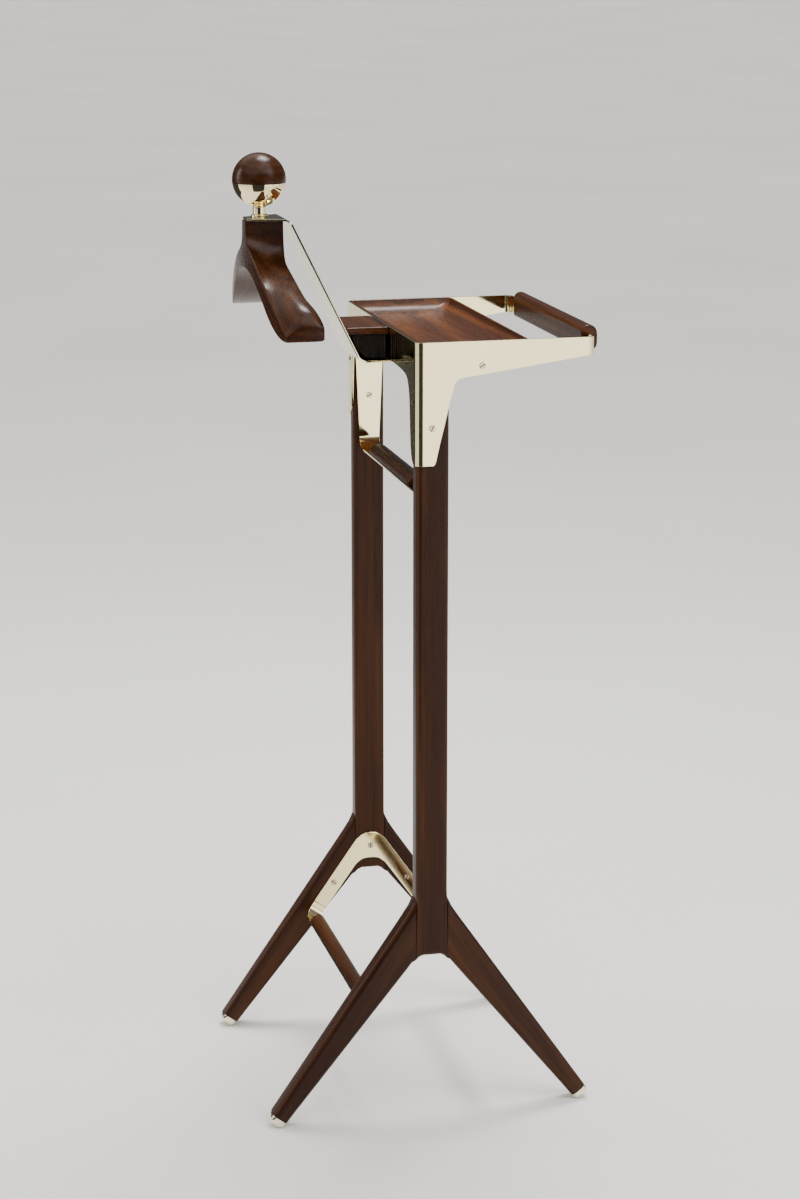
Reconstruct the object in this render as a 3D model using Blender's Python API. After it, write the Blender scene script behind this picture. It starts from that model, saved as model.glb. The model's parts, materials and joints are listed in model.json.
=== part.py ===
"""Valet stand: two walnut side frames joined by bent brass straps, with a dished tray, a trouser bar,
a shoe rest, a coat hanger on a brass strap and a clothes brush. Metres, +Z up.
+Y is the coat-hanger side (back), -Y the tray side (front), X runs across the two posts."""
import math
import bpy
import bmesh
from mathutils import Matrix

MM = 0.001
GAP = 0.3                 # clearance between touching pieces, mm

# side frames (all lengths below in mm)
POST_OUT = 181.5          # |X| of the posts' outer faces
POST_T = 24.0             # post thickness along X
POST_H = 20.0             # half width of a post along Y
POST_TOP = 931.0
KINK_Z = 281.0            # where the legs leave the post
CROTCH_Z = 211.0
ROUND_OUT = 6.6           # rounding of the outer long edges
ROUND_IN = 4.0            # rounding of the inner long edges
LEG_END_OUT = (201.0, 18.4)    # (Y, Z) of the leg's cut end, upper corner
LEG_END_IN = (184.2, 5.6)      # lower corner
LEG_CROTCH = (24.5, 202.0)     # where the leg's underside starts
TIP = 10.4                # length of the foot tips beyond the cut end

# bracket
TOP = 976.0               # top edge of bracket and tray
SHEET = 2.4               # brass sheet thickness
BR_X = 184.2              # |X| of the side plates' outer faces
BR_Y = 22.7               # Y of the back band's outer face
BR_R = 9.4                # outer bend radius
ARM_Y = -198.0            # Y of the arms' turned-in ends
ARM_R = 10.0
FLANGE_X = 150.0          # |X| where the turned-in ends stop
BAND_Z = 935.4            # lower edge of the band
LEG_PLATE_Z = 828.5       # lower end of the side plates

# tray
TRAY_X = 181.4
TRAY_BACK = 20.0
TRAY_FRONT = -116.0
TRAY_WALL = 3.2
DISH = 17.0

# hanger strap
ST_TOP = 1107.0
ST_BOT = 935.0            # underside level of the strap's foot is ST_BOT - SHEET

# hanger
HANG_TOP = 1104.3         # top of the hanger's column
HANG_FRONT = 144.6        # Y of the column's front face
HANG_BACK = 191.0         # Y of the rim's face
HANG_W = 171.0            # half width
HANG_SWEEP = 16.0         # how far the tips sweep towards the tray
# heights along |X|: upper edge at the back, upper edge at the front, and underside
HANG_RIM = [(0.0, 1104.3), (11.0, 1104.0), (11.3, 1096.0), (12.2, 1089.0), (13.8, 1083.0), (16.5, 1077.5),
            (21.0, 1073.0), (29.0, 1069.0), (64.0, 1055.0), (92.0, 1038.0), (118.0, 1022.5),
            (140.0, 1009.0), (158.0, 997.0), (167.0, 991.5), (171.0, 986.5)]
HANG_NOSE = [(0.0, 1104.3), (11.0, 1104.0), (11.3, 1092.0), (12.2, 1083.0), (13.8, 1075.0), (16.5, 1067.5),
             (21.0, 1061.0), (27.0, 1056.5), (36.0, 1052.0), (48.0, 1047.5), (78.0, 1037.5),
             (112.0, 1027.5), (143.0, 1018.5), (158.0, 1012.0), (167.0, 1003.5), (171.0, 993.0)]
HANG_UNDER = [(0.0, 1047.0), (11.2, 1046.5), (30.0, 1044.0), (50.0, 1038.5), (75.0, 1026.0), (95.0, 1011.5),
              (115.0, 997.5), (135.0, 987.0), (148.0, 982.4), (158.0, 980.4), (171.0, 980.0)]

# ball finial
BALL_Y = 171.5
BALL_Z = 1152.0
BALL_R = 32.8

# straps
TS_Z = 787.5              # trouser strap, underside
SS_HALF = 9.5             # half width of the shoe-rest cross straps

WALNUT = (0.20, 0.085, 0.04, 1.0)
BRASS = (0.86, 0.76, 0.53, 1.0)
BRISTLE = (0.03, 0.02, 0.015, 1.0)


def material(name, colour, metallic, rough):
    mat = bpy.data.materials.get(name) or bpy.data.materials.new(name)
    mat.use_nodes = True
    bsdf = mat.node_tree.nodes["Principled BSDF"]
    bsdf.inputs["Base Color"].default_value = colour
    bsdf.inputs["Metallic"].default_value = metallic
    bsdf.inputs["Roughness"].default_value = rough
    mat.diffuse_color = colour
    return mat


def wood():
    return material("walnut", WALNUT, 0.0, 0.35)


def brass():
    return material("brass", BRASS, 1.0, 0.15)


def bristle():
    return material("bristle", BRISTLE, 0.0, 0.8)


def finish(name, bm, mat, smooth=True):
    """Turn a bmesh into a named object with outward normals."""
    bmesh.ops.remove_doubles(bm, verts=bm.verts, dist=0.00001)
    bmesh.ops.recalc_face_normals(bm, faces=bm.faces)
    mesh = bpy.data.meshes.new(name)
    bm.to_mesh(mesh)
    bm.free()
    obj = bpy.data.objects.new(name, mesh)
    bpy.context.scene.collection.objects.link(obj)
    mesh.materials.append(mat)
    if smooth:
        mesh.shade_smooth()
        mesh.set_sharp_from_angle(angle=math.radians(35))
    return obj


def skin(rings, closed=False):
    """Closed solid through equal-length rings of points in mm; n-gon caps unless the rings close up."""
    bm = bmesh.new()
    loops = [[bm.verts.new((p[0] * MM, p[1] * MM, p[2] * MM)) for p in ring] for ring in rings]
    pairs = list(zip(loops, loops[1:]))
    if closed:
        pairs.append((loops[-1], loops[0]))
    for a, b in pairs:
        n = len(a)
        for i in range(n):
            j = (i + 1) % n
            bm.faces.new((a[i], a[j], b[j], b[i]))
    if not closed:
        bm.faces.new(loops[0])
        bm.faces.new(list(reversed(loops[-1])))
    return bm


def inset(outline, dists):
    """Move every edge of a counter-clockwise outline inwards by its own distance."""
    n = len(outline)
    out = []
    for i in range(n):
        p0, p1, p2 = outline[i - 1], outline[i], outline[(i + 1) % n]
        d1, d2 = dists[i - 1], dists[i]
        u1 = unit(p1[0] - p0[0], p1[1] - p0[1])
        u2 = unit(p2[0] - p1[0], p2[1] - p1[1])
        n1, n2 = (-u1[1], u1[0]), (-u2[1], u2[0])
        cross = u1[0] * u2[1] - u1[1] * u2[0]
        if abs(cross) < 0.02:
            d = 0.5 * (d1 + d2)
            out.append((p1[0] + n1[0] * d, p1[1] + n1[1] * d))
            continue
        a = (p1[0] + n1[0] * d1, p1[1] + n1[1] * d1)
        b = (p1[0] + n2[0] * d2, p1[1] + n2[1] * d2)
        t = ((b[0] - a[0]) * u2[1] - (b[1] - a[1]) * u2[0]) / cross
        out.append((a[0] + u1[0] * t, a[1] + u1[1] * t))
    return out


def unit(x, y):
    n = math.hypot(x, y)
    return x / n, y / n


def slab(outline, flags, x0, x1, r0, r1, steps=3):
    """Extrude a (Y, Z) outline from x0 to x1. Edges flagged 1 are rounded with r0 at x0 and r1 at x1."""
    s = 1.0 if x1 > x0 else -1.0
    rings = []
    for k in range(steps + 1):
        a = math.pi / 2 * k / steps
        d = r0 * (1 - math.sin(a))
        rings.append((x0 + s * r0 * (1 - math.cos(a)), d))
    for k in range(steps + 1):
        a = math.pi / 2 * k / steps
        d = r1 * (1 - math.cos(a))
        rings.append((x1 - s * r1 * (1 - math.sin(a)), d))
    loops = []
    for x, d in rings:
        loops.append([(x, y, z) for y, z in inset(outline, [d * f for f in flags])])
    return skin(loops)


def fillet(points, radii, steps=6):
    """Round the inner corners of an open polyline."""
    out = [points[0]]
    for i in range(1, len(points) - 1):
        p, a, b = points[i], points[i - 1], points[i + 1]
        r = radii[i]
        if r <= 0:
            out.append(p)
            continue
        ua = unit(a[0] - p[0], a[1] - p[1])
        ub = unit(b[0] - p[0], b[1] - p[1])
        half = math.acos(max(-1.0, min(1.0, ua[0] * ub[0] + ua[1] * ub[1]))) / 2
        t = r / math.tan(half)
        bis = unit(ua[0] + ub[0], ua[1] + ub[1])
        c = (p[0] + bis[0] * r / math.sin(half), p[1] + bis[1] * r / math.sin(half))
        s = (p[0] + ua[0] * t - c[0], p[1] + ua[1] * t - c[1])
        e = (p[0] + ub[0] * t - c[0], p[1] + ub[1] * t - c[1])
        a0 = math.atan2(s[1], s[0])
        a1 = math.atan2(e[1], e[0])
        d = (a1 - a0 + math.pi) % (2 * math.pi) - math.pi
        for k in range(steps + 1):
            ang = a0 + d * k / steps
            out.append((c[0] + r * math.cos(ang), c[1] + r * math.sin(ang)))
    out.append(points[-1])
    return out


def normals(path):
    """Left-hand normals of an open path, mitred at its corners."""
    res = []
    for i, p in enumerate(path):
        a = path[max(i - 1, 0)]
        b = path[min(i + 1, len(path) - 1)]
        if 0 < i < len(path) - 1:
            u1 = unit(p[0] - a[0], p[1] - a[1])
            u2 = unit(b[0] - p[0], b[1] - p[1])
            m = unit(u1[0] + u2[0], u1[1] + u2[1])
            k = 1.0 / max(0.5, m[0] * u1[0] + m[1] * u1[1])
            res.append((-m[1] * k, m[0] * k))
        else:
            u = unit(b[0] - a[0], b[1] - a[1])
            res.append((-u[1], u[0]))
    return res


def interp(x, table):
    """Piecewise linear lookup in a list of (x, value) pairs in rising order of x."""
    if x <= table[0][0]:
        return table[0][1]
    for (x0, v0), (x1, v1) in zip(table, table[1:]):
        if x <= x1:
            return v0 + (v1 - v0) * (x - x0) / (x1 - x0)
    return table[-1][1]


# ---------------------------------------------------------------- side frames

def outer_line(y):
    """Height of a leg's outer edge at |Y| = y."""
    slope = (KINK_Z - LEG_END_OUT[1]) / (LEG_END_OUT[0] - POST_H)
    return KINK_Z - slope * (y - POST_H)


def under_line(y):
    slope = (LEG_CROTCH[1] - LEG_END_IN[1]) / (LEG_END_IN[0] - LEG_CROTCH[0])
    return LEG_CROTCH[1] - slope * (y - LEG_CROTCH[0])


def post(name, side):
    """Flat post with a shallow arch at the crotch; side is -1 or +1."""
    h = POST_H
    arch = [(-h, CROTCH_Z - 6.2), (-16.0, CROTCH_Z - 2.3), (-11.0, CROTCH_Z), (11.0, CROTCH_Z),
            (16.0, CROTCH_Z - 2.3), (h, CROTCH_Z - 6.2)]
    outline = arch + [(h, KINK_Z + 2), (h, KINK_Z + 16), (h, POST_TOP), (-h, POST_TOP),
                      (-h, KINK_Z + 16), (-h, KINK_Z + 2)]
    flags = [1, 1, 1, 1, 1, 0, 0.5, 1, 0, 1, 0.5, 0]
    x1 = side * POST_OUT
    x0 = side * (POST_OUT - POST_T)
    return finish(name, slab(outline, flags, x0, x1, ROUND_IN, ROUND_OUT), wood())


def leg(name, side, front):
    """Tapered leg glued to the post's edge; front is True on the tray side."""
    h = POST_H + GAP
    top = [(h, KINK_Z + 4.5), (h + 5.5, outer_line(h + 5.5) + 0.8), (h + 15, outer_line(h + 15))]
    out = [LEG_END_OUT, LEG_END_IN, (LEG_CROTCH[0] + 6, under_line(LEG_CROTCH[0] + 6)),
           (LEG_CROTCH[0], LEG_CROTCH[1] + 0.4), (h, CROTCH_Z - 6.4)]
    outline = top + out
    flags = [1, 1, 1, 0, 1, 1, 1, 0]
    if front:
        outline = [(-y, z) for y, z in outline]
    else:
        outline = list(reversed(outline))
        flags = list(reversed(flags[:-1])) + [flags[-1]]
    x1 = side * POST_OUT
    x0 = side * (POST_OUT - POST_T)
    return finish(name, slab(outline, flags, x0, x1, ROUND_IN, ROUND_OUT), wood())


def foot_tip(name, side, front):
    """Rounded brass cap on a leg's cut end."""
    s = -1.0 if front else 1.0
    ax = unit(LEG_END_OUT[0] - LEG_END_IN[0], LEG_END_OUT[1] - LEG_END_IN[1])
    dn = (ax[1], -ax[0])
    cy = 0.5 * (LEG_END_OUT[0] + LEG_END_IN[0])
    cz = 0.5 * (LEG_END_OUT[1] + LEG_END_IN[1])
    half = 0.5 * math.hypot(LEG_END_OUT[0] - LEG_END_IN[0], LEG_END_OUT[1] - LEG_END_IN[1])
    xm = side * (POST_OUT - POST_T / 2)
    rings = []
    for d, k in ((GAP, 0.0), (4.8, 0.0), (7.2, 0.7), (8.8, 1.9), (9.8, 3.4), (TIP, 5.6)):
        hw, hx, r = half - k - 0.2, POST_T / 2 - k - 0.2, max(0.8, 5.4 - 0.35 * k)
        ring = []
        for qx, qw, a0 in ((1, 1, 0), (-1, 1, 90), (-1, -1, 180), (1, -1, 270)):
            for t in (0, 30, 60, 90):
                a = math.radians(a0 + t)
                x = xm + qx * (hx - r) + r * math.cos(a)
                w = qw * (hw - r) + r * math.sin(a)
                y = cy + ax[0] * w + dn[0] * d
                z = cz + ax[1] * w + dn[1] * d
                ring.append((x, s * y, max(z, 0.0)))
        rings.append(ring)
    return finish(name, skin(rings), brass())


# ---------------------------------------------------------------- bracket, tray and front bar

def bracket():
    """One bent sheet: turned-in ends, arms, side plates, and the back band with its two legs."""
    half = [(FLANGE_X, ARM_Y), (BR_X, ARM_Y), (BR_X, BR_Y), (0.0, BR_Y)]
    path = fillet(half, [0, ARM_R, BR_R, 0], 6)
    arm_low = [(-198.0, 954.0), (-190.8, 954.0), (-49.4, 934.4), (-38.4, 933.1), (-30.0, 931.5),
               (-26.0, 927.5), (-23.9, 921.1), (-19.1, 904.6), (-13.1, 878.6), (-7.1, 854.8),
               (-2.3, 833.4), (-0.8, 829.6), (0.8, LEG_PLATE_Z)]
    back_low = [(0.0, BAND_Z), (80.0, BAND_Z), (106.0, BAND_Z - 1.0), (122.0, BAND_Z - 2.2),
                (133.7, 931.4), (141.0, 928.0), (146.1, 922.5), (150.5, 913.5), (153.2, 902.0),
                (154.6, 885.0), (156.2, 868.0), (158.4, 852.0), (161.3, 840.0), (165.0, 833.6),
                (170.0, 830.2), (176.2, LEG_PLATE_Z)]
    dense = [path[0]]
    for a, b in zip(path, path[1:]):
        marks = []
        if abs(a[0] - b[0]) < 0.01:
            marks = [y for y, _ in arm_low if a[1] + 0.5 < y < b[1] - 0.5]
            dense += [(a[0], y) for y in marks]
        elif abs(a[1] - b[1]) < 0.01 and a[1] > 0:
            marks = sorted((x for x, _ in back_low if b[0] + 0.5 < x < a[0] - 0.5), reverse=True)
            dense += [(x, a[1]) for x in marks]
        dense.append(b)
    rows = []
    for (x, y), (nx, ny) in zip(dense, normals(dense)):
        if y > BR_Y - 0.01:
            low = interp(x, back_low)
        else:
            low = interp(y, arm_low)
        rows.append((x, y, x + nx * SHEET, y + ny * SHEET, low))
    rings = []
    for x, y, ix, iy, low in rows:
        rings.append([(-x, y, TOP), (-x, y, low), (-ix, iy, low), (-ix, iy, TOP)])
    for x, y, ix, iy, low in reversed(rows[:-1]):
        rings.append([(x, y, TOP), (x, y, low), (ix, iy, low), (ix, iy, TOP)])
    return finish("bracket", skin(rings), brass())


def tray():
    """Dished tray: a flat rim, a cove and a nearly flat floor, with an underside that follows the arms."""
    zt = TOP
    rings = []

    def loop(dx, db, df, r, z, slope=0.0):
        x, yb, yf = TRAY_X - dx, TRAY_BACK - db, TRAY_FRONT + df
        pts = []
        for sx, sy, a0 in ((1, 1, 0), (-1, 1, 90), (-1, -1, 180), (1, -1, 270)):
            for k in range(5):
                a = math.radians(a0 + 22.5 * k)
                px = sx * (x - r) + r * math.cos(a)
                py = (yb - r if sy > 0 else yf + r) + r * math.sin(a)
                pts.append((px, py, z + slope * (yb - py)))
        return pts
    under = 0.086             # the underside rises towards the front, like the arms' lower edges
    rings.append(loop(3, 3, 3, 7.0, 936.6, under))
    rings.append(loop(0.6, 0.6, 0.6, 8.0, 938.0, under))
    rings.append(loop(0, 0, 0, 8.5, 940.5, under))
    rings.append(loop(0, 0, 0, 8.5, zt - 0.6))
    rings.append(loop(0.6, 0.6, 0.6, 8.0, zt))
    w = TRAY_WALL
    rings.append(loop(w, w, w, 7.0, zt))
    for k in range(1, 8):
        a = math.pi / 2 * k / 7
        run = 34.0 * (1 - math.cos(a))
        drop = DISH * math.sin(a)
        rings.append(loop(w + run + 0.6, w + run * 0.72 + 0.6, w + run + 0.6, 7.0 + run * 0.5, zt - drop))
    return finish("tray", skin(rings), wood())


def front_bar():
    """Round-topped bar between the turned-in ends of the arms."""
    prof = []
    y0, y1, z0, z1 = -190.8, -211.0, 953.5, 985.0
    for cy, cz, r, a0, a1 in ((y0 - 3, z0 + 3, 3, 0, -90), (y1 + 9, z0 + 9, 9, -90, -180),
                              (y1 + 11, z1 - 11, 11, 180, 90), (y0 - 8, z1 - 8, 8, 90, 0)):
        for k in range(6):
            a = math.radians(a0 + (a1 - a0) * k / 5)
            prof.append((cy + r * math.cos(a), cz + r * math.sin(a)))
    rings = []
    my = sum(p[0] for p in prof) / len(prof)
    mz = sum(p[1] for p in prof) / len(prof)
    xs = [(-149.6, 0.90), (-148.6, 0.96), (-147.0, 1.0), (147.0, 1.0), (148.6, 0.96), (149.6, 0.90)]
    for x, k in xs:
        rings.append([(x, my + (y - my) * k, mz + (z - mz) * k) for y, z in prof])
    return finish("front_bar", skin(rings), wood())


# ---------------------------------------------------------------- trouser bar

def trouser_strap():
    """U strap between the posts' inner faces, wide at the top and narrower along its bottom."""
    xi = POST_OUT - POST_T - GAP
    half = [(xi - SHEET / 2, 922.0), (xi - SHEET / 2, TS_Z + SHEET / 2), (0.0, TS_Z + SHEET / 2)]
    path = fillet(half, [0, 15.0, 0], 7)
    path = [path[0], (path[0][0], 921.0), (path[0][0], 919.0), (path[0][0], 915.0)] + path[1:]
    full = path + [(-x, z) for x, z in reversed(path[:-1])]
    widths = [(790.0, 13.2), (806.0, 13.2), (915.0, 18.2), (919.0, 17.4), (921.0, 15.8), (922.0, 14.0)]
    rings = []
    for (x, z), (nx, nz) in zip(full, normals(full)):
        w = interp(z, widths)
        t = SHEET / 2
        rings.append([(x + nx * t, -w, z + nz * t), (x + nx * t, w, z + nz * t),
                      (x - nx * t, w, z - nz * t), (x - nx * t, -w, z - nz * t)])
    return finish("trouser_strap", skin(rings), brass())


def half_round(name, centre, u, v, half, rise, x_end, foot=1.6):
    """Bar along X with a flat side: u across the flat, v away from it, both unit (Y, Z) vectors."""
    prof = [(-half, 0.0), (-half, foot)]
    for k in range(1, 12):
        a = math.pi - math.pi * k / 12
        prof.append((half * math.cos(a), foot + (rise - foot) * math.sin(a)))
    prof += [(half, foot), (half, 0.0)]
    rings = []
    for x, k in ((-x_end, 0.86), (-x_end + 1.2, 0.95), (-x_end + 3.2, 1.0), (x_end - 3.2, 1.0),
                 (x_end - 1.2, 0.95), (x_end, 0.86)):
        ring = []
        for a, b in prof:
            a, b = a * k, b * (k if b > foot else 1.0)
            ring.append((x, centre[0] + u[0] * a + v[0] * b, centre[1] + u[1] * a + v[1] * b))
        rings.append(ring)
    return finish(name, skin(rings), wood())


# ---------------------------------------------------------------- shoe rest

def arm_frame():
    """Centre of an arm plate's end, the direction along the arm, and across it, as (Y, Z)."""
    end = (69.6, 165.4)
    along = unit(0.585, -0.811)
    across = (-along[1], along[0])
    return end, along, across


def shoe_plate(name, side):
    """Lambda-shaped plate on the inner face of a side frame's joint."""
    end, along, across = arm_frame()
    o = (end[0] + across[0] * SS_HALF, end[1] + across[1] * SS_HALF)
    i = (end[0] - across[0] * SS_HALF, end[1] - across[1] * SS_HALF)
    half = [(0.0, 262.0), (7.0, 261.4), (13.0, 258.6), (20.0, 252.8), o, i, (20.7, 217.6), (15.0, 222.6),
            (10.0, 225.4), (4.0, 226.2)]
    outline = half + [(0.0, 226.3)] + [(-y, z) for y, z in reversed(half[1:])]
    outline = list(reversed(outline))
    xi = POST_OUT - POST_T - GAP
    x0, x1 = side * (xi - SHEET), side * xi
    return finish(name, slab(outline, [1] * len(outline), x0, x1, 0.5, 0.2, 1), brass())


def shoe_strap(name, s):
    """Cross strap of the shoe rest with its two end bends; s is +1 on the back legs, -1 on the front."""
    end, along, across = arm_frame()
    xi = POST_OUT - POST_T - GAP - SHEET / 2
    r = 19.0
    half = [(xi, GAP), (xi, r + 3.0), (0.0, r + 3.0)]
    path = fillet(half, [0, r, 0], 8)
    full = path + [(-x, d) for x, d in reversed(path[:-1])]
    rings = []
    t = SHEET / 2
    for (x, d), (nx, nd) in zip(full, normals(full)):
        ring = []
        for w, k in ((-SS_HALF, t), (SS_HALF, t), (SS_HALF, -t), (-SS_HALF, -t)):
            q = d + nd * k
            y = end[0] + along[0] * q + across[0] * w
            z = end[1] + along[1] * q + across[1] * w
            ring.append((x + nx * k, s * y, z))
        rings.append(ring)
    return finish(name, skin(rings), brass())


def shoe_bar(name, s):
    end, along, across = arm_frame()
    d = 22.0 - SHEET / 2 - GAP
    c = (s * (end[0] + along[0] * d), end[1] + along[1] * d)
    u = (s * across[0], across[1])
    v = (-s * along[0], -along[1])
    return half_round(name, c, u, v, 9.2, 14.5, 130.0)


# ---------------------------------------------------------------- hanger, strap and finial

def hanger():
    """Sculpted hanger lofted from tip to tip: sections across X, swept towards the tray at the tips."""
    rings = []
    xs = [171.0, 170.2, 168.0, 163.0, 155.0, 143.0, 128.0, 112.0, 95.0, 78.0, 62.0, 52.0, 44.0, 37.0, 31.5,
          27.0, 23.5, 20.7, 18.4, 16.5, 15.0, 13.8, 12.9, 12.2, 11.7, 11.3, 11.0, 7.0, 0.0]
    xs = [-x for x in xs] + list(reversed(xs[:-1]))
    for x in xs:
        ax = abs(x)
        f = (ax / HANG_W) ** 2
        yb = HANG_BACK - HANG_SWEEP * f
        yf = HANG_FRONT - 19.0 * f
        under = interp(ax, HANG_UNDER)
        rim = interp(ax, HANG_RIM)
        nose = interp(ax, HANG_NOSE)
        if ax > 163.0:
            k = (ax - 163.0) / 8.0
            ease = 1 - math.sqrt(max(0.0, 1 - k * k))
            yf = yf + 7.0 * ease
            yb = yb - 1.5 * ease
        depth = yb - yf
        flare = min(1.0, max(0.0, (ax - 11.0) / 16.0))      # 0 on the column, 1 out on the limb
        flare = flare * flare * (3 - 2 * flare)
        r = 2.0 + flare * (min(12.0, (nose - under) * 0.42, depth * 0.36) - 2.0)
        # the limb's rounded crest: half a breadth and a height, kept inside the same sloping outline
        across = 2.0 + flare * (depth * 0.46 - 2.0)
        tall = 2.0 + flare * (min(18.0, (nose - under) * 0.62) - 2.0)
        crest = nose + across + tall - math.hypot(across, tall) - (2 - math.sqrt(2)) * r
        ring = [(x, yb, under + 0.6), (x, yb, rim - 1.4), (x, yb - 1.6, rim)]
        for k in range(1, 6):
            t = k / 6.0
            ring.append((x, yb - 1.6 - (depth - 1.6 - across) * t,
                         rim + (crest - rim) * math.sin(math.pi * t / 2)))
        for k in range(9):
            a = math.radians(90 + 90 * k / 8)
            ring.append((x, yf + across + across * math.cos(a), crest - tall + tall * math.sin(a)))
        ring += [(x, yf, under + 1.6), (x, yf + 1.6, under), (x, yb - 0.6, under)]
        rings.append(ring)
    return finish("hanger", skin(rings), wood())


def strap_path():
    """Side profile (Y, Z) of the hanger strap's mid surface, from the column's back to under the tray."""
    t = SHEET / 2
    pts = [(189.5, ST_TOP - t), (141.0, ST_TOP - t), (57.7, ST_BOT - t), (-30.0, ST_BOT - t)]
    return fillet(pts, [0, 9.0, 12.0, 0], 7)


def hanger_strap():
    path = strap_path()
    rings = []
    for (y, z), (ny, nz) in zip(path, normals(path)):
        w = 49.5
        if z > 1060.0:
            w = interp(1107.0 - z, [(0.0, 30.0), (10.0, 38.0), (22.0, 42.0), (47.0, 49.5)])
        if z > 1104.0:
            w = interp(y, [(140.0, 34.0), (150.0, 30.0), (189.5, 13.0)])
        t = SHEET / 2
        rings.append([(-w, y + ny * t, z + nz * t), (w, y + ny * t, z + nz * t),
                      (w, y - ny * t, z - nz * t), (-w, y - ny * t, z - nz * t)])
    return finish("hanger_strap", skin(rings), brass())


def turned(name, mat, profile, cy, segs=32):
    """Solid of revolution about a vertical axis at Y = cy from (radius, Z) pairs, closed at both ends."""
    bm = bmesh.new()
    loops = []
    for r, z in profile:
        if r < 0.01:
            loops.append([bm.verts.new((0.0, cy * MM, z * MM))])
            continue
        ring = []
        for k in range(segs):
            a = 2 * math.pi * k / segs
            ring.append(bm.verts.new((r * math.cos(a) * MM, (cy + r * math.sin(a)) * MM, z * MM)))
        loops.append(ring)
    for a, b in zip(loops, loops[1:]):
        for i in range(segs):
            j = (i + 1) % segs
            if len(a) == 1:
                bm.faces.new((a[0], b[i], b[j]))
            elif len(b) == 1:
                bm.faces.new((a[i], a[j], b[0]))
            else:
                bm.faces.new((a[i], a[j], b[j], b[i]))
    return finish(name, bm, mat)


def finial():
    seam = BALL_Z - 3.0
    cap = [(0.0, seam + GAP / 2)]
    a0 = math.asin((seam + GAP / 2 - BALL_Z) / BALL_R)
    for k in range(13):
        a = a0 + (math.pi / 2 - a0) * k / 12
        cap.append((BALL_R * math.cos(a), BALL_Z + BALL_R * math.sin(a)))
    cap[-1] = (0.0, BALL_Z + BALL_R)
    turned("ball_cap", wood(), cap, BALL_Y)
    neck_z = BALL_Z - math.sqrt(BALL_R ** 2 - 8.0 ** 2)
    bowl = [(0.0, neck_z + GAP), (8.0, neck_z + GAP)]
    a1 = math.asin((neck_z - BALL_Z) / BALL_R) + 0.03
    a2 = math.asin((seam - GAP / 2 - BALL_Z) / BALL_R)
    for k in range(11):
        a = a1 + (a2 - a1) * k / 10
        bowl.append((BALL_R * math.cos(a), BALL_Z + BALL_R * math.sin(a)))
    bowl.append((0.0, seam - GAP / 2))
    turned("ball_bowl", brass(), bowl, BALL_Y)
    base = ST_TOP + GAP
    neck = [(0.0, base), (10.0, base), (10.4, base + 0.6), (10.4, base + 2.6), (9.6, base + 3.4),
            (8.0, base + 4.0), (8.0, neck_z - 1.0), (7.4, neck_z), (0.0, neck_z)]
    turned("ball_neck", brass(), neck, BALL_Y)


# ---------------------------------------------------------------- brush

def brush():
    """Clothes brush held between the strap's slope and the band: wooden back and a block of bristles."""
    y0 = BR_Y + GAP + 0.2
    zt = TOP - 0.2
    slope = (141.0 - 57.7) / (ST_TOP - ST_BOT)

    def far(z):
        return 57.7 + slope * (z - ST_BOT) - 2.2
    zb = zt - 9.0
    back = [(y0, zb), (far(zb) - 0.4, zb), (far(zt) - 0.4, zt - 0.6), (far(zt) - 1.2, zt), (y0 + 0.8, zt),
            (y0, zt - 0.8)]
    rings = []
    for x, k in ((-48.5, 0.8), (-47.9, 0.2), (-47.2, 0.0), (47.2, 0.0), (47.9, 0.2), (48.5, 0.8)):
        rings.append([(x, y, z) for y, z in inset(back, [k] * len(back))])
    finish("brush_back", skin(rings), wood())
    zh = zb - GAP
    low = ST_BOT + 1.2
    tuft = [(y0 + 1.0, low), (46.0, low), (51.5, low + 2.4), (55.5, low + 7.5),
            (far(low + 14) - 1.6, low + 14), (far(zh) - 2.0, zh), (y0 + 1.0, zh)]
    rings = [[(x, y, z) for y, z in tuft] for x in (-46.5, 46.5)]
    finish("bristles", skin(rings), bristle(), False)


# ---------------------------------------------------------------- screws

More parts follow.
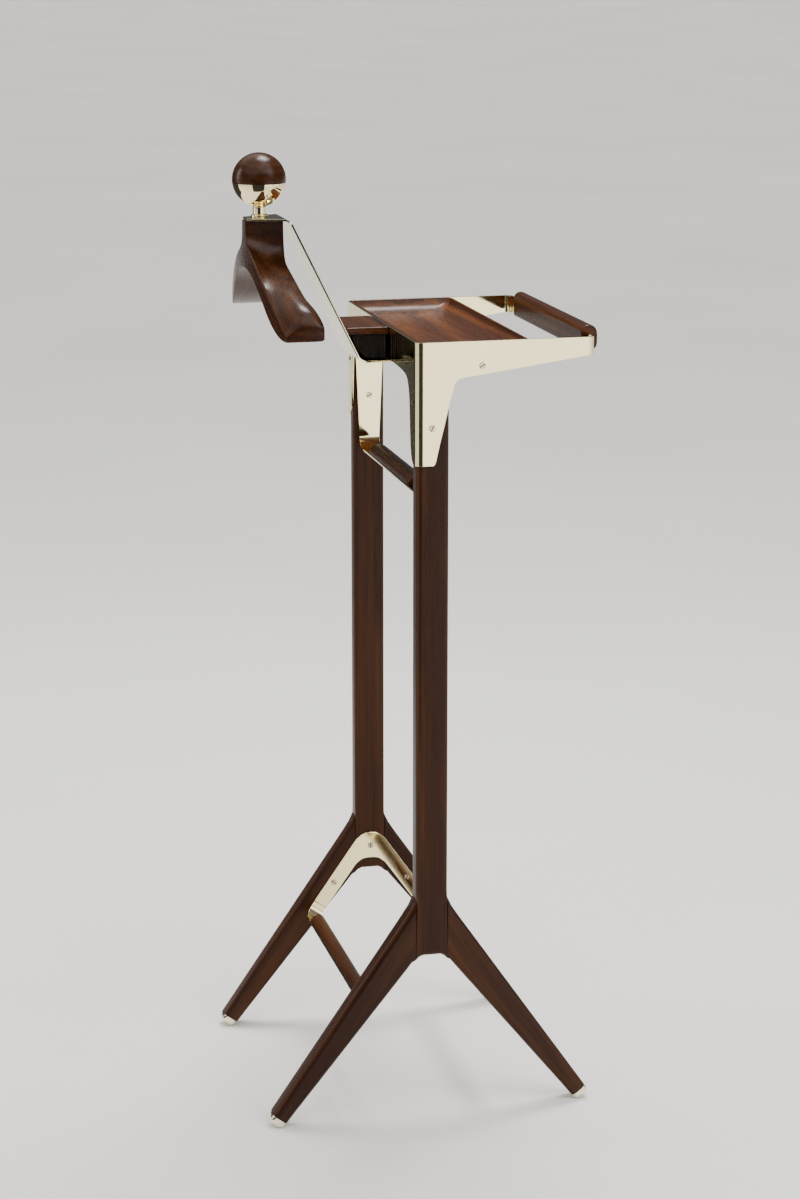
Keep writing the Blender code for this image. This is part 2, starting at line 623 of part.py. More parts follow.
def screw(name, pos, normal, r=3.9, high=0.9, turn=0.4):
    """Countersunk slotted head standing a little proud of its plate; normal is a unit vector."""
    nx, ny, nz = normal
    if abs(nx) > 0.5:
        u, v = (0.0, 1.0, 0.0), (0.0, 0.0, 1.0)
    else:
        u, v = (1.0, 0.0, 0.0), (0.0, 0.0, 1.0)
    segs = 20
    half = r * 0.16
    ring_ang = [turn + 2 * math.pi * k / segs for k in range(segs)]
    cs, sn = math.cos(turn), math.sin(turn)

    def place(a, b, h):
        p = (a * cs - b * sn, a * sn + b * cs)
        return tuple(pos[i] + u[i] * p[0] + v[i] * p[1] + normal[i] * h for i in range(3))
    bm = bmesh.new()

    def half_head(sign):
        a0 = math.asin(half / r)
        arc = [a0 + (math.pi - 2 * a0) * k / 9 for k in range(10)]
        return [(r * math.cos(a), sign * r * math.sin(a)) for a in arc]
    slot = 0.45
    rings = {}
    for sign in (1, -1):
        top = half_head(sign)
        rings[sign] = [[bm.verts.new([c * MM for c in place(a * k, b if abs(b) <= half + 1e-6 else b * k, h)])
                        for a, b in top] for h, k in ((GAP * 0.5, 1.0), (high * 0.55, 1.0), (high, 0.9))]
    slot_v = {}
    reach = math.sqrt(r * r - half * half)
    for sign in (1, -1):
        e = rings[sign]
        ends = [place(q * reach, sign * half, high - slot) for q in (1, -1)]
        slot_v[sign] = [bm.verts.new([c * MM for c in end]) for end in ends]
        for lo, hi in zip(e, e[1:]):
            for i in range(9):
                bm.faces.new((lo[i], lo[i + 1], hi[i + 1], hi[i]))
        bm.faces.new(e[2])
        bm.faces.new((e[2][0], e[1][0], slot_v[sign][0], slot_v[sign][1], e[1][9], e[2][9]))
    a, b = rings[1], rings[-1]
    bm.faces.new((slot_v[1][0], slot_v[1][1], slot_v[-1][1], slot_v[-1][0]))
    bm.faces.new((a[0][0], a[1][0], slot_v[1][0], slot_v[-1][0], b[1][0], b[0][0]))
    bm.faces.new((a[0][9], a[1][9], slot_v[1][1], slot_v[-1][1], b[1][9], b[0][9]))
    bm.faces.new(a[0] + list(reversed(b[0])))
    return finish(name, bm, brass())


def screws():
    turns = [0.5, 1.1, 2.0, 0.2, 2.6, 1.5, 0.8, 1.9]
    for side, tag in ((-1, "left"), (1, "right")):
        n = (float(side), 0.0, 0.0)
        x = side * BR_X
        screw("screw_tray_" + tag, (x, -58.5, 946.6), n, turn=turns[0] * side)
        screw("screw_post_" + tag, (x, 2.5, 873.8), n, turn=turns[2])
        screw("screw_back_" + tag, (side * 168.0, BR_Y, 903.0), (0.0, 1.0, 0.0), 2.6, 0.8, turns[3])
        xi = side * (POST_OUT - POST_T - GAP - SHEET)
        inner = (-float(side), 0.0, 0.0)
        screw("screw_trouser_" + tag, (xi, 0.0, 856.5), inner, turn=turns[4])
        screw("screw_hub_" + tag, (xi, 0.0, 243.5), inner, turn=turns[5])
        screw("screw_arm_back_" + tag, (xi, 50.5, 195.0), inner, turn=turns[6])
        screw("screw_arm_front_" + tag, (xi, -50.5, 195.0), inner, turn=turns[7])


def centre():
    """Slide every mesh along Y so that the whole stand's bounding box is centred on the origin."""
    ys = [v.co.y for obj in bpy.data.objects for v in obj.data.vertices]
    shift = -0.5 * (min(ys) + max(ys))
    for obj in bpy.data.objects:
        obj.data.transform(Matrix.Translation((0.0, shift, 0.0)))


def main():
    for obj in list(bpy.data.objects):
        bpy.data.objects.remove(obj, do_unlink=True)
    for side, tag in ((-1, "left"), (1, "right")):
        post("post_" + tag, side)
        leg("leg_back_" + tag, side, False)
        leg("leg_front_" + tag, side, True)
        foot_tip("tip_back_" + tag, side, False)
        foot_tip("tip_front_" + tag, side, True)
        shoe_plate("shoe_plate_" + tag, side)
    bracket()
    tray()
    front_bar()
    trouser_strap()
    half_round("trouser_bar", (0.0, TS_Z + SHEET + GAP), (1.0, 0.0), (0.0, 1.0), 12.6, 12.0, 104.0)
    shoe_strap("shoe_strap_back", 1)
    shoe_strap("shoe_strap_front", -1)
    shoe_bar("shoe_bar_back", 1)
    shoe_bar("shoe_bar_front", -1)
    hanger()
    hanger_strap()
    finial()
    brush()
    screws()
    centre()


main()
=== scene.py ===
"""Looks of the walnut and brass valet stand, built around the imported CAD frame. Metres, +Z up.
+X runs across the two side frames, -Y is the tray side, +Y the coat-hanger side."""
import json
import math
import random

import bpy
import bmesh
from mathutils import Matrix, Vector

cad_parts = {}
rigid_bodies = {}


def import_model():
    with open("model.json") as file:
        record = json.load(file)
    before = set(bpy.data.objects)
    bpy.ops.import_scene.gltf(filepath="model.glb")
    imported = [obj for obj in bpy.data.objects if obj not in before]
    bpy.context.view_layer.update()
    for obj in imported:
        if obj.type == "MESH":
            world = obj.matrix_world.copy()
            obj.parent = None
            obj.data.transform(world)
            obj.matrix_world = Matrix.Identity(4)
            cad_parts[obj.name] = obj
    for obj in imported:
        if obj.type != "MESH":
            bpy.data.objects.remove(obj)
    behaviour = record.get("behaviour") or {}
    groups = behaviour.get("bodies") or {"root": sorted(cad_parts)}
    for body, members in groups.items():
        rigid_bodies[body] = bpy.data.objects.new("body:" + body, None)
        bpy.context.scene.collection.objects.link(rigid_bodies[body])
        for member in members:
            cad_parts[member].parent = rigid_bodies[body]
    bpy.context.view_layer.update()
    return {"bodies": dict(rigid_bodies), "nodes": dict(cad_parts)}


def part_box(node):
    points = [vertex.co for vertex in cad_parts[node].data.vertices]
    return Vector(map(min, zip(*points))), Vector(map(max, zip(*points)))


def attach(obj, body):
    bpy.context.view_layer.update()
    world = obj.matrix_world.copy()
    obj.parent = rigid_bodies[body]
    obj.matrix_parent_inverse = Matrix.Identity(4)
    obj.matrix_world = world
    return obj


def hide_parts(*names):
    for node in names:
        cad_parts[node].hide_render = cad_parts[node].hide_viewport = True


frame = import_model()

NODES = frame["nodes"]

YAW, PITCH = 13.67, 13.99                    # the photograph's viewing direction, degrees
CAMERA_PLACE = (-3.41156, 0.82976, 1.49596)
CAMERA_LENS = 86.09                          # mm, on a sensor 36 mm across
AIM = (0.0, 0.0, 0.7)                        # where the soft boxes point
FLOOR_HALF = 60.0                            # metres from the middle of the floor to its edge
FLOOR_DROP = 0.0002                          # the floor lies this far under the feet
TUFTS_ACROSS, TUFTS_DEEP = 54, 16            # the brush's tufts along X and Y
TUFT_RADIUS = 0.00105


# ---------------------------------------------------------------- node helpers

class Graph:
    """Short-hand for building a material's nodes."""

    mirrored = False              # both halves of a piece take the same pattern

    def __init__(self, name):
        self.mat = bpy.data.materials.get(name)
        if self.mat:
            bpy.data.materials.remove(self.mat)
        self.mat = bpy.data.materials.new(name)
        self.mat.use_nodes = True
        self.tree = self.mat.node_tree
        self.bsdf = self.tree.nodes["Principled BSDF"]

    def node(self, kind, **values):
        n = self.tree.nodes.new(kind)
        for key, value in values.items():
            setattr(n, key, value)
        return n

    def link(self, a, b):
        self.tree.links.new(a, b)

    def put(self, socket, value):
        """Set a socket from a number, a colour or another node's output."""
        if isinstance(value, bpy.types.NodeSocket):
            self.link(value, socket)
        else:
            socket.default_value = value

    def place(self, scale=(1, 1, 1), turn=(0, 0, 0), shift=(0, 0, 0)):
        """Object coordinates, rotated so that the grain runs along local Z, then scaled."""
        co = self.node("ShaderNodeTexCoord").outputs["Object"]
        if self.mirrored:
            fold = self.node("ShaderNodeVectorMath", operation="ABSOLUTE")
            self.link(co, fold.inputs[0])
            co = fold.outputs[0]
        a = self.node("ShaderNodeMapping")
        a.inputs["Rotation"].default_value = turn
        a.inputs["Location"].default_value = shift
        self.link(co, a.inputs["Vector"])
        b = self.node("ShaderNodeMapping")
        b.inputs["Scale"].default_value = scale
        self.link(a.outputs["Vector"], b.inputs["Vector"])
        return b.outputs["Vector"]

    def noise(self, vector, scale, detail=3.0, rough=0.5, distortion=0.0):
        n = self.node("ShaderNodeTexNoise")
        n.inputs["Scale"].default_value = scale
        n.inputs["Detail"].default_value = detail
        n.inputs["Roughness"].default_value = rough
        n.inputs["Distortion"].default_value = distortion
        self.link(vector, n.inputs["Vector"])
        return n.outputs["Fac"]

    def ramp(self, fac, stops):
        n = self.node("ShaderNodeValToRGB")
        el = n.color_ramp.elements
        while len(el) < len(stops):
            el.new(0.5)
        for e, (pos, colour) in zip(el, stops):
            e.position = pos
            e.color = (*colour, 1.0) if len(colour) == 3 else colour
        self.link(fac, n.inputs["Fac"])
        return n.outputs["Color"]

    def spread(self, fac, low, high, a=0.0, b=1.0):
        n = self.node("ShaderNodeMapRange")
        self.put(n.inputs["Value"], fac)
        n.inputs["From Min"].default_value = a
        n.inputs["From Max"].default_value = b
        n.inputs["To Min"].default_value = low
        n.inputs["To Max"].default_value = high
        return n.outputs["Result"]

    def mix(self, fac, a, b, mode="MIX"):
        n = self.node("ShaderNodeMix", data_type="RGBA", blend_type=mode)
        self.put(n.inputs[0], fac)
        self.put(n.inputs[6], a)
        self.put(n.inputs[7], b)
        return n.outputs[2]

    def math(self, op, a, b=0.0):
        n = self.node("ShaderNodeMath", operation=op)
        self.put(n.inputs[0], a)
        self.put(n.inputs[1], b)
        return n.outputs[0]

    def bump(self, height, strength, distance, under=None):
        n = self.node("ShaderNodeBump")
        n.inputs["Strength"].default_value = strength
        n.inputs["Distance"].default_value = distance
        self.link(height, n.inputs["Height"])
        if under is not None:
            self.link(under, n.inputs["Normal"])
        return n.outputs["Normal"]

    def finish(self, **sockets):
        for key, value in sockets.items():
            self.put(self.bsdf.inputs[key.replace("_", " ")], value)
        return self.mat


# ---------------------------------------------------------------- materials

LEG_TILT = math.radians(34.6)
ALONG_X = (0.0, math.radians(-90), 0.0)      # grain along X
ALONG_Z = (0.0, 0.0, 0.0)
ALONG_LIMB = (0.0, math.radians(60), 0.0)    # down the slope of the hanger's limbs


def walnut(name, turn, seed, tone=1.0, figure=1.0, gloss=0.34, contrast=1.0, mirrored=False):
    """Semi-gloss walnut. The grain runs along the direction that turn carries to local Z."""
    g = Graph("walnut_" + name)
    g.mirrored = mirrored
    rnd = random.Random(seed)
    shift = (rnd.uniform(-3, 3), rnd.uniform(-3, 3), rnd.uniform(-3, 3))
    broad = g.place((1, 1, 0.06), turn, shift)
    fine = g.place((1, 1, 0.016), turn, shift)
    pores = g.place((1, 1, 0.05), turn, shift)
    cloud = g.noise(g.place((1, 1, 0.22), turn, shift), 8.0, 2.0, 0.5)
    warp = g.noise(broad, 24.0 * figure, 3.0, 0.55, 0.5)
    rings = g.node("ShaderNodeTexWave", wave_type="BANDS", bands_direction="X", wave_profile="SIN")
    rings.inputs["Scale"].default_value = 24.0 * figure
    rings.inputs["Distortion"].default_value = 6.0
    rings.inputs["Detail"].default_value = 3.0
    rings.inputs["Detail Scale"].default_value = 1.4
    rings.inputs["Detail Roughness"].default_value = 0.6
    g.link(broad, rings.inputs["Vector"])
    streak = g.noise(fine, 520.0, 4.0, 0.65)
    pore = g.noise(pores, 1700.0, 2.0, 0.5)
    banded = g.math("MULTIPLY", rings.outputs["Fac"], 0.42)
    figure_mix = g.math("ADD", banded, g.math("MULTIPLY", warp, 0.58))
    wide = 0.5 / contrast
    base = g.ramp(g.spread(figure_mix, 0.0, 1.0, 0.5 - wide, 0.5 + wide),
                  [(0.24, (0.0165 * tone, 0.0043 * tone, 0.0010 * tone)),
                   (0.44, (0.0275 * tone, 0.0078 * tone, 0.0018 * tone)),
                   (0.58, (0.0390 * tone, 0.0117 * tone, 0.0028 * tone)),
                   (0.78, (0.0580 * tone, 0.0188 * tone, 0.0046 * tone))])
    streaks = g.ramp(streak, [(0.30, (0.50, 0.48, 0.46)), (0.52, (1.0, 1.0, 1.0)),
                              (0.75, (1.26, 1.22, 1.18))])
    colour = g.mix(0.8, base, streaks, "MULTIPLY")
    pits = g.spread(pore, 1.0, 0.0, 0.30, 0.40)
    colour = g.mix(g.math("MULTIPLY", pits, 0.5), colour, (0.010, 0.0034, 0.0017, 1.0))
    clouds = g.ramp(cloud, [(0.30, (0.84, 0.82, 0.80)), (0.70, (1.14, 1.12, 1.09))])
    colour = g.mix(0.7, colour, clouds, "MULTIPLY")
    rough = g.math("ADD", g.spread(streak, gloss - 0.04, gloss + 0.07), g.math("MULTIPLY", pits, 0.15))
    relief = g.math("SUBTRACT", g.math("MULTIPLY", streak, 0.35), pits)
    normal = g.bump(relief, 0.16, 0.0004)
    return g.finish(Base_Color=colour, Roughness=rough, Normal=normal, Specular_IOR_Level=0.20, IOR=1.45)


def brass(name, seed, colour=(0.99, 0.88, 0.52), rough=0.055):
    """Mirror-polished pale brass: faint wiping marks, soft tone drift and very fine scratches."""
    g = Graph("brass_" + name)
    rnd = random.Random(seed)
    shift = (rnd.uniform(-2, 2), rnd.uniform(-2, 2), rnd.uniform(-2, 2))
    v = g.place((1, 1, 1), (0, 0, 0), shift)
    drift = g.noise(v, 11.0, 2.0, 0.5)
    wipe = g.noise(g.place((1, 1, 0.10), (0.5, 0.3, 0.2), shift), 260.0, 3.0, 0.6)
    scratch = g.noise(g.place((1, 1, 0.03), (1.1, 0.4, 0.9), shift), 1400.0, 2.0, 0.5)
    low = tuple(c * k for c, k in zip(colour, (0.955, 0.945, 0.91)))
    tint = g.ramp(drift, [(0.30, low), (0.72, colour)])
    r = g.math("ADD", g.spread(wipe, rough - 0.02, rough + 0.035), g.spread(scratch, 0.0, 0.05, 0.62, 0.75))
    relief = g.math("ADD", g.math("MULTIPLY", drift, 0.5), g.math("MULTIPLY", scratch, 0.05))
    normal = g.bump(relief, 0.05, 0.0006)
    return g.finish(Base_Color=tint, Metallic=1.0, Roughness=r, Normal=normal)


def bristle_look():
    g = Graph("bristle_dark")
    v = g.place((1, 1, 0.05))
    strand = g.noise(v, 900.0, 3.0, 0.6)
    colour = g.ramp(strand, [(0.35, (0.006, 0.004, 0.003)), (0.62, (0.020, 0.012, 0.008)),
                             (0.80, (0.055, 0.032, 0.020))])
    normal = g.bump(strand, 0.3, 0.0006)
    return g.finish(Base_Color=colour, Roughness=g.spread(strand, 0.38, 0.62), Normal=normal,
                    Specular_IOR_Level=0.35)


def painted_slot_shade():
    """Painted shade: a dark brass colour for the screws' slots and around their heads, standing in for the
    shade there.
    """
    g = Graph("brass_painted_slot_shade")
    n = g.noise(g.place(), 900.0, 3.0, 0.6)
    colour = g.ramp(n, [(0.3, (0.030, 0.020, 0.010)), (0.7, (0.090, 0.062, 0.030))])
    return g.finish(Base_Color=colour, Metallic=0.6, Roughness=g.spread(n, 0.42, 0.62))


def floor_look():
    g = Graph("floor_pale")
    v = g.place()
    n = g.noise(v, 0.8, 3.0, 0.5)
    colour = g.ramp(n, [(0.3, (0.74, 0.73, 0.71)), (0.7, (0.79, 0.78, 0.76))])
    return g.finish(Base_Color=colour, Roughness=0.7, Specular_IOR_Level=0.2)


# ---------------------------------------------------------------- pieces

def body_of(node):
    for body, empty in frame["bodies"].items():
        if NODES[node].parent is empty:
            return body


def new_piece(name, bm, mat, node, sharp=32.0):
    mesh = bpy.data.meshes.new(name)
    bmesh.ops.recalc_face_normals(bm, faces=bm.faces)
    bm.to_mesh(mesh)
    bm.free()
    obj = bpy.data.objects.new(name, mesh)
    bpy.context.scene.collection.objects.link(obj)
    mesh.materials.append(mat)
    mesh.shade_smooth()
    mesh.set_sharp_from_angle(angle=math.radians(sharp))
    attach(obj, body_of(node))
    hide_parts(node)
    return obj


def refine(node, mat, edge=0.0004, steps=2, levels=0, sharp_at=38.0):
    """A copy of a CAD node with merged facets, rounded edges and smooth shading, in the same place."""
    bm = bmesh.new()
    bm.from_mesh(NODES[node].data)
    bmesh.ops.remove_doubles(bm, verts=bm.verts, dist=0.000002)
    bmesh.ops.dissolve_limit(bm, angle_limit=math.radians(0.4), verts=bm.verts, edges=bm.edges)
    bmesh.ops.join_triangles(bm, faces=bm.faces, angle_face_threshold=math.radians(20),
                             angle_shape_threshold=math.radians(60))
    crisp = [e for e in bm.edges if len(e.link_faces) == 2
             and e.calc_face_angle(0.0) > math.radians(sharp_at)]
    if edge > 0 and crisp:
        bmesh.ops.bevel(bm, geom=crisp, offset=edge, offset_type="OFFSET", segments=steps, profile=0.5,
                        affect="EDGES", clamp_overlap=True)
    obj = new_piece(node + "_look", bm, mat, node)
    if levels:
        sub = obj.modifiers.new("smooth", "SUBSURF")
        sub.levels = sub.render_levels = levels
    weighted = obj.modifiers.new("even", "WEIGHTED_NORMAL")
    weighted.keep_sharp = True
    return obj


def screw_look(node, head, dark):
    """A screw whose slot and skirt carry painted shade, a dark brass colour."""
    obj = refine(node, head, 0.0)
    mesh = obj.data
    mesh.materials.append(dark)
    lo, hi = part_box(node)
    thin = min(range(3), key=lambda k: hi[k] - lo[k])
    axis = Vector([1.0 if k == thin else 0.0 for k in range(3)])
    if axis.dot(outward(node)) < 0:
        axis.negate()
    top = max(v.co.dot(axis) for v in mesh.vertices)
    # every face but the flat crown takes the painted shade of the slot and rim
    for p in mesh.polygons:
        crown = p.normal.dot(axis) > 0.9 and p.center.dot(axis) > top - 0.0001
        p.material_index = 0 if crown else 1
    return obj


def outward(node):
    """The way a screw's head faces."""
    lo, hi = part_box(node)
    side = 1.0 if lo.x > 0 else -1.0
    if node.startswith("screw_back"):
        return Vector((0.0, 1.0, 0.0))
    if node.startswith(("screw_tray", "screw_post")):
        return Vector((side, 0.0, 0.0))
    return Vector((-side, 0.0, 0.0))


def lathe(profile, cx, cy, segs=96):
    """Closed solid of revolution about a vertical axis from (radius, z) pairs in metres."""
    bm = bmesh.new()
    loops = []
    for r, z in profile:
        if r < 1e-7:
            loops.append([bm.verts.new((cx, cy, z))])
        else:
            loops.append([bm.verts.new((cx + r * math.cos(2 * math.pi * k / segs),
                                        cy + r * math.sin(2 * math.pi * k / segs), z)) for k in range(segs)])
    for a, b in zip(loops, loops[1:]):
        for i in range(segs):
            j = (i + 1) % segs
            if len(a) == 1:
                bm.faces.new((a[0], b[i], b[j]))
            elif len(b) == 1:
                bm.faces.new((a[i], a[j], b[0]))
            else:
                bm.faces.new((a[i], a[j], b[j], b[i]))
    return bm


def finial():
    lo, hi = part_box("ball_cap")
    blo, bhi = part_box("ball_bowl")
    r = (hi.x - lo.x) / 2
    cx, cy = (lo.x + hi.x) / 2, (lo.y + hi.y) / 2
    cz = hi.z - r
    seam_up, seam_down, low = lo.z, bhi.z, blo.z
    cap = [(0.0, seam_up), (r * 0.994 * math.cos(math.asin((seam_up - cz) / r)), seam_up)]
    a0 = math.asin((seam_up - cz) / r) + 0.012
    rise = [a0 + (math.pi / 2 - a0) * k / 40 for k in range(40)]
    cap += [(r * math.cos(a), cz + r * math.sin(a)) for a in rise] + [(0.0, hi.z)]
    new_piece("ball_cap_look", lathe(cap, cx, cy), walnut("ball", ALONG_X, 41, 1.15, 1.6, 0.24, 0.35),
              "ball_cap")
    foot = 0.008
    bowl = [(0.0, low), (foot, low)]
    a1 = math.asin((low - cz) / r) if abs(low - cz) < r else -1.2
    a2 = math.asin((seam_down - cz) / r)
    a1 = max(a1, -math.acos(foot / r)) + 0.01
    rise = [a1 + (a2 - a1) * k / 36 for k in range(36)]
    bowl += [(r * math.cos(a), cz + r * math.sin(a)) for a in rise]
    bowl += [(r * math.cos(a2) * 0.999, seam_down), (0.0, seam_down)]
    new_piece("ball_bowl_look", lathe(bowl, cx, cy), brass("bowl", 42, (0.92, 0.80, 0.50), 0.035),
              "ball_bowl")


def bristles():
    """Rows of tapering tufts that fill the CAD block, with an uneven lower edge."""
    lo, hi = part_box("bristles")
    block = NODES["bristles"].data
    rnd = random.Random(7)
    co = [v.co for v in block.vertices]

    def back_limit(z):
        """Largest Y of the block at height z."""
        pts = sorted({(round(v.z, 5), round(v.y, 5)) for v in co if v.y > lo.y + 0.005})
        for (z0, y0), (z1, y1) in zip(pts, pts[1:]):
            if z0 <= z <= z1 and z1 > z0:
                return y0 + (y1 - y0) * (z - z0) / (z1 - z0)
        return pts[-1][1] if z > pts[-1][0] else pts[0][1]
    bm = bmesh.new()
    for i in range(TUFTS_ACROSS):
        for j in range(TUFTS_DEEP):
            fx = (i + 0.5) / TUFTS_ACROSS
            fy = (j + 0.5) / TUFTS_DEEP
            x = lo.x + 0.0012 + (hi.x - lo.x - 0.0024) * fx + rnd.uniform(-0.0003, 0.0003)
            y_top = lo.y + 0.0012 + (back_limit(hi.z - 0.001) - lo.y - 0.0026) * fy
            z_end = lo.z + rnd.uniform(0.0, 0.0038)
            for _ in range(30):
                if y_top <= back_limit(z_end) - 0.0008:
                    break
                z_end += 0.0012
            y_end = y_top + rnd.uniform(-0.0007, 0.0007)
            x_end = x + rnd.uniform(-0.0008, 0.0008)
            ra, rb = TUFT_RADIUS, 0.00042 + rnd.uniform(0, 0.00018)
            rings = []
            for t, rr in ((0.0, ra), (0.62, ra * 0.95), (1.0, rb)):
                px, py = x + (x_end - x) * t * t, y_top + (y_end - y_top) * t * t
                pz = hi.z + (z_end - hi.z) * t
                rings.append([bm.verts.new((px + rr * math.cos(a), py + rr * math.sin(a), pz))
                              for a in (0.4, 1.97, 3.54, 5.11)])
            for a, b in zip(rings, rings[1:]):
                for k in range(4):
                    bm.faces.new((a[k], a[(k + 1) % 4], b[(k + 1) % 4], b[k]))
            bm.faces.new(rings[0])
            bm.faces.new(list(reversed(rings[-1])))
    new_piece("bristles_look", bm, bristle_look(), "bristles")


def dress_all():
    """Every CAD node gets its look."""
    for i, tag in enumerate(("left", "right")):
        refine("post_" + tag, walnut("post_" + tag, ALONG_Z, 11 + i, 1.0, 1.2, 0.34, 0.6), 0.0)
        for end, sign in (("back", -1), ("front", 1)):
            grain = (sign * LEG_TILT, 0, 0)
            look = walnut(f"leg_{end}_{tag}", grain, 24 + 7 * i + sign, 1.0, 1.2, 0.34, 0.65)
            refine(f"leg_{end}_{tag}", look, 0.0)
        for end in ("back", "front"):
            look = brass(f"tip_{end}_{tag}", 51 + i, (0.90, 0.84, 0.68), 0.12)
            refine(f"tip_{end}_{tag}", look, 0.0003)
        refine("shoe_plate_" + tag, brass("shoe_plate_" + tag, 61 + i), 0.00025)
    refine("bracket", brass("bracket", 71), 0.0003)
    refine("hanger_strap", brass("hanger_strap", 72, (0.97, 0.88, 0.63)), 0.0003)
    refine("trouser_strap", brass("trouser_strap", 73), 0.0003)
    for i, end in enumerate(("back", "front")):
        refine("shoe_strap_" + end, brass("shoe_strap_" + end, 74 + i), 0.0003)
        refine("shoe_bar_" + end, walnut("shoe_bar_" + end, ALONG_X, 81 + i, 1.15), 0.0005)
    refine("trouser_bar", walnut("trouser_bar", ALONG_X, 83, 1.0, 1.0, 0.26), 0.0005)
    refine("front_bar", walnut("front_bar", ALONG_X, 84, 1.5, 1.0, 0.30), 0.0005)
    refine("tray", walnut("tray", ALONG_X, 85, 2.0, 0.9, 0.26, 0.85), 0.0004)
    refine("hanger", walnut("hanger", ALONG_LIMB, 86, 1.0, 1.3, 0.25, 0.5, True), 0.0007, 2, 1)
    refine("brush_back", walnut("brush_back", ALONG_X, 87, 1.2, 1.0, 0.28), 0.0006)
    refine("ball_neck", brass("ball_neck", 76, (0.85, 0.74, 0.46), 0.04), 0.0002)
    screw_brass = brass("screws", 77, (0.66, 0.58, 0.41), 0.2)
    # painted shade for the screws' slots and head rims
    dark = painted_slot_shade()
    for name in sorted(NODES):
        if name.startswith("screw_"):
            screw_look(name, screw_brass, dark)
    finial()
    bristles()


# ---------------------------------------------------------------- stage, lights and camera

def floor():
    bm = bmesh.new()
    bmesh.ops.create_grid(bm, x_segments=24, y_segments=24, size=FLOOR_HALF)
    mesh = bpy.data.meshes.new("floor")
    bm.to_mesh(mesh)
    bm.free()
    obj = bpy.data.objects.new("floor", mesh)
    obj.location = (0.0, 0.0, -FLOOR_DROP)
    bpy.context.scene.collection.objects.link(obj)
    mesh.materials.append(floor_look())


def softbox(name, place, aim, width, height, watts, colour=(1.0, 0.98, 0.95)):
    light = bpy.data.lights.new(name, "AREA")
    light.shape = "RECTANGLE"
    light.size, light.size_y = width, height
    light.energy = watts
    light.color = colour
    obj = bpy.data.objects.new(name, light)
    obj.location = place
    obj.rotation_mode = "QUATERNION"
    obj.rotation_quaternion = (Vector(aim) - Vector(place)).to_track_quat("-Z", "Y")
    obj.visible_camera = False
    bpy.context.scene.collection.objects.link(obj)


def world():
    """Dim neutral surroundings, a little brighter overhead."""
    w = bpy.data.worlds.new("studio")
    bpy.context.scene.world = w
    w.use_nodes = True
    tree = w.node_tree
    back = tree.nodes["Background"]
    co = tree.nodes.new("ShaderNodeTexCoord")
    split = tree.nodes.new("ShaderNodeSeparateXYZ")
    tree.links.new(co.outputs["Generated"], split.inputs["Vector"])
    ramp = tree.nodes.new("ShaderNodeValToRGB")
    ramp.color_ramp.elements[0].position = 0.05
    ramp.color_ramp.elements[0].color = (0.16, 0.16, 0.165, 1)
    ramp.color_ramp.elements[1].position = 0.9
    ramp.color_ramp.elements[1].color = (0.55, 0.55, 0.55, 1)
    tree.links.new(split.outputs["Z"], ramp.inputs["Fac"])
    tree.links.new(ramp.outputs["Color"], back.inputs["Color"])
    back.inputs["Strength"].default_value = 0.6


def broad_sun(name, azimuth, elevation, strength, spread, colour=(1.0, 0.985, 0.96)):
    """A large soft light far away, so that the floor stays evenly lit into the distance."""
    light = bpy.data.lights.new(name, "SUN")
    light.energy = strength
    light.angle = math.radians(spread)
    light.color = colour
    obj = bpy.data.objects.new(name, light)
    a, e = math.radians(azimuth), math.radians(elevation)
    source = Vector((math.cos(a) * math.cos(e), math.sin(a) * math.cos(e), math.sin(e)))
    obj.rotation_mode = "QUATERNION"
    obj.rotation_quaternion = source.to_track_quat("Z", "Y")
    bpy.context.scene.collection.objects.link(obj)


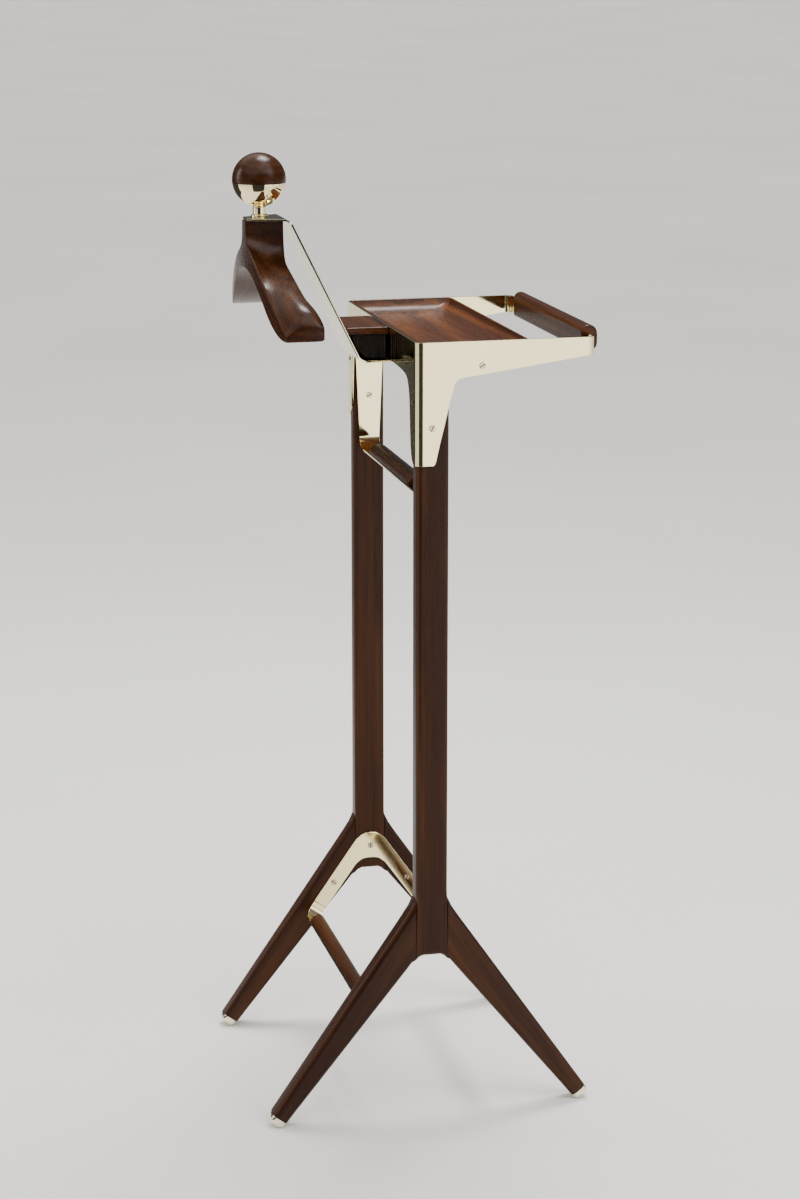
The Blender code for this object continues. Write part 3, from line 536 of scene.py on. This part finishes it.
def board(name, bearing, reach, width, height, glow=0.0):
    """Board seen only in reflections, dark or glowing, standing on the floor: a studio's flag or card.
    bearing is the angle from +X towards +Y at which it stands, in degrees."""
    mesh = bpy.data.meshes.new(name)
    bm = bmesh.new()
    bmesh.ops.create_grid(bm, x_segments=2, y_segments=2, size=0.5)
    bm.to_mesh(mesh)
    bm.free()
    obj = bpy.data.objects.new(name, mesh)
    a = math.radians(bearing)
    obj.location = (reach * math.cos(a), reach * math.sin(a), height / 2)
    obj.rotation_euler = (math.pi / 2, 0.0, a + math.pi / 2)
    obj.scale = (width, height, 1.0)
    bpy.context.scene.collection.objects.link(obj)
    g = Graph("board_" + name)
    mesh.materials.append(g.finish(Base_Color=(0.012, 0.012, 0.012, 1.0), Roughness=0.9,
                                   Emission_Color=(1.0, 0.98, 0.94, 1.0), Emission_Strength=glow))
    obj.visible_camera = obj.visible_diffuse = obj.visible_shadow = obj.visible_transmission = False


def lights():
    broad_sun("sun_key", 215, 52, 2.0, 50)
    broad_sun("sun_fill", 130, 48, 1.25, 60)
    broad_sun("sun_back", 20, 60, 1.05, 60)
    # high over the tray side, for the highlight on the ball's crown and the sheen in the tray
    softbox("top", (0.70, -0.42, 3.3), AIM, 0.9, 0.9, 95)
    softbox("key", (-1.9, -1.9, 2.6), AIM, 0.8, 1.2, 14)
    softbox("rim", (1.2, 3.0, 1.6), AIM, 0.7, 2.2, 42)
    board("flag_near", 160, 1.15, 1.15, 1.3)
    board("flag_back", 42, 1.6, 1.7, 1.3)
    board("card_plates", 205, 2.7, 1.9, 1.3, 2.3)
    board("card_front", 246, 2.9, 1.9, 1.2, 1.5)


def camera():
    cam = bpy.data.cameras.new("camera")
    cam.lens = CAMERA_LENS
    cam.sensor_width = 36.0
    cam.sensor_fit = "AUTO"
    cam.clip_end = 300.0
    obj = bpy.data.objects.new("camera", cam)
    bpy.context.scene.collection.objects.link(obj)
    yaw, pitch = math.radians(YAW), math.radians(PITCH)
    ahead = Vector((math.cos(yaw) * math.cos(pitch), -math.sin(yaw) * math.cos(pitch), -math.sin(pitch)))
    right = Vector((-math.sin(yaw), -math.cos(yaw), 0.0))
    up = right.cross(ahead).normalized()
    rot = Matrix((right, up, -ahead)).transposed().to_4x4()
    obj.matrix_world = Matrix.Translation(CAMERA_PLACE) @ rot
    bpy.context.scene.camera = obj


dress_all()
floor()
world()
lights()
camera()
